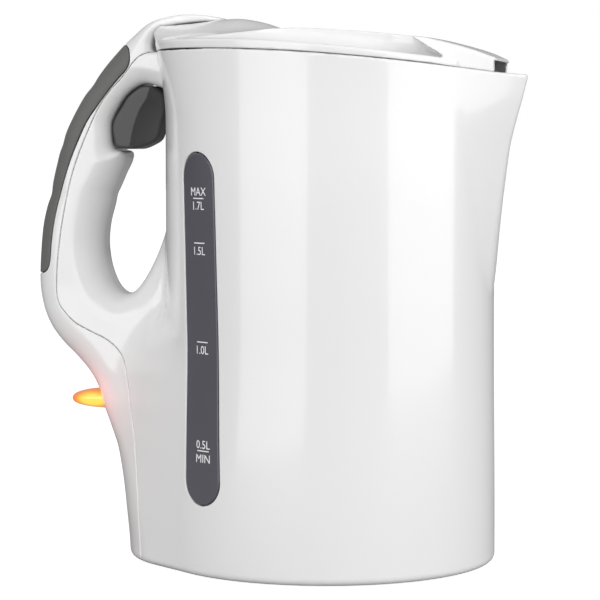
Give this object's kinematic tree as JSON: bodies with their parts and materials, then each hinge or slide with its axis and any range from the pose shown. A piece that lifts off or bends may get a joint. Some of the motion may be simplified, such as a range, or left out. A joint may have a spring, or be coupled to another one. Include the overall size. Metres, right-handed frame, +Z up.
{
  "type": "electric kettle",
  "caption": "Cordless electric kettle jug with hinged lid, soft grip on the handle, lid release trigger, lit rocker switch and level gauge",
  "frame": {"origin": "on the body's axis in the plane the kettle stands on", "axes": "+Z up, +X towards the spout, -X towards the handle, the level gauge on the -Y side"},
  "size_m": [0.2074, 0.1406, 0.222],
  "materials": {
    "white_gloss": "gloss",
    "white_satin": "satin",
    "soft_grey": "matte",
    "smoked_window": "gloss",
    "silicone": "satin",
    "steel": "satin",
    "trigger_grey": "satin",
    "amber": "gloss",
    "nylon_dark": "satin",
    "nylon_light": "satin",
    "bimetal": "satin",
    "lamp_glass": "gloss",
    "wire_brown": "gloss",
    "wire_blue": "gloss",
    "wire_white": "gloss",
    "aluminium": "satin"
  },
  "bodies": {
    "kettle": {"jug": "white_gloss", "rear_cover": "white_gloss", "grip_insert": "soft_grey", "gauge_window": "smoked_window", "lid_hinge_pin": "steel", "lid_spring": "steel", "trigger_pin": "steel", "trigger_spring": "steel", "switch_pin": "steel", "steam_switch_housing": "nylon_dark", "steam_bimetal": "bimetal", "neon_lamp": "lamp_glass", "overcentre_spring": "steel", "steam_tube": "nylon_light", "live_wire": "wire_brown", "neutral_wire": "wire_blue", "lamp_wire": "wire_white", "spade_terminals": "steel", "element_seal": "silicone", "element_plate": "steel", "heat_spreader": "aluminium", "heating_element": "aluminium", "control_body": "nylon_dark", "dry_boil_bimetals": "bimetal", "connector_socket": "nylon_dark", "control_screws": "steel", "bottom_cover": "white_satin", "bottom_screws": "steel", "rear_cover_screws": "steel", "spout_filter_frame": "white_satin", "spout_filter_mesh": "steel"},
    "lid": {"lid_cover": "white_gloss", "lid_inner": "white_satin", "lid_seal": "silicone"},
    "trigger": {"lid_release_trigger": "trigger_grey"},
    "switch": {"switch_lever": "amber"}
  },
  "joints": [
    {"name": "lid_hinge", "type": "hinge", "parent": "kettle", "child": "lid", "pos_m": [-0.066, 0, 0.212], "axis": [0, -1, 0], "range_deg": [0, 70], "deforming": ["lid_spring"]},
    {"name": "lid_trigger", "type": "hinge", "parent": "kettle", "child": "trigger", "pos_m": [-0.079, 0, 0.197], "axis": [0, 1, 0], "range_deg": [0, 7], "stiffness_Nm_per_rad": 0.4, "deforming": ["trigger_spring"]},
    {"name": "power_switch", "type": "hinge", "parent": "kettle", "child": "switch", "pos_m": [-0.086, 0, 0.0615], "axis": [0, 1, 0], "range_deg": [0, 14], "deforming": ["overcentre_spring"]}
  ]
}
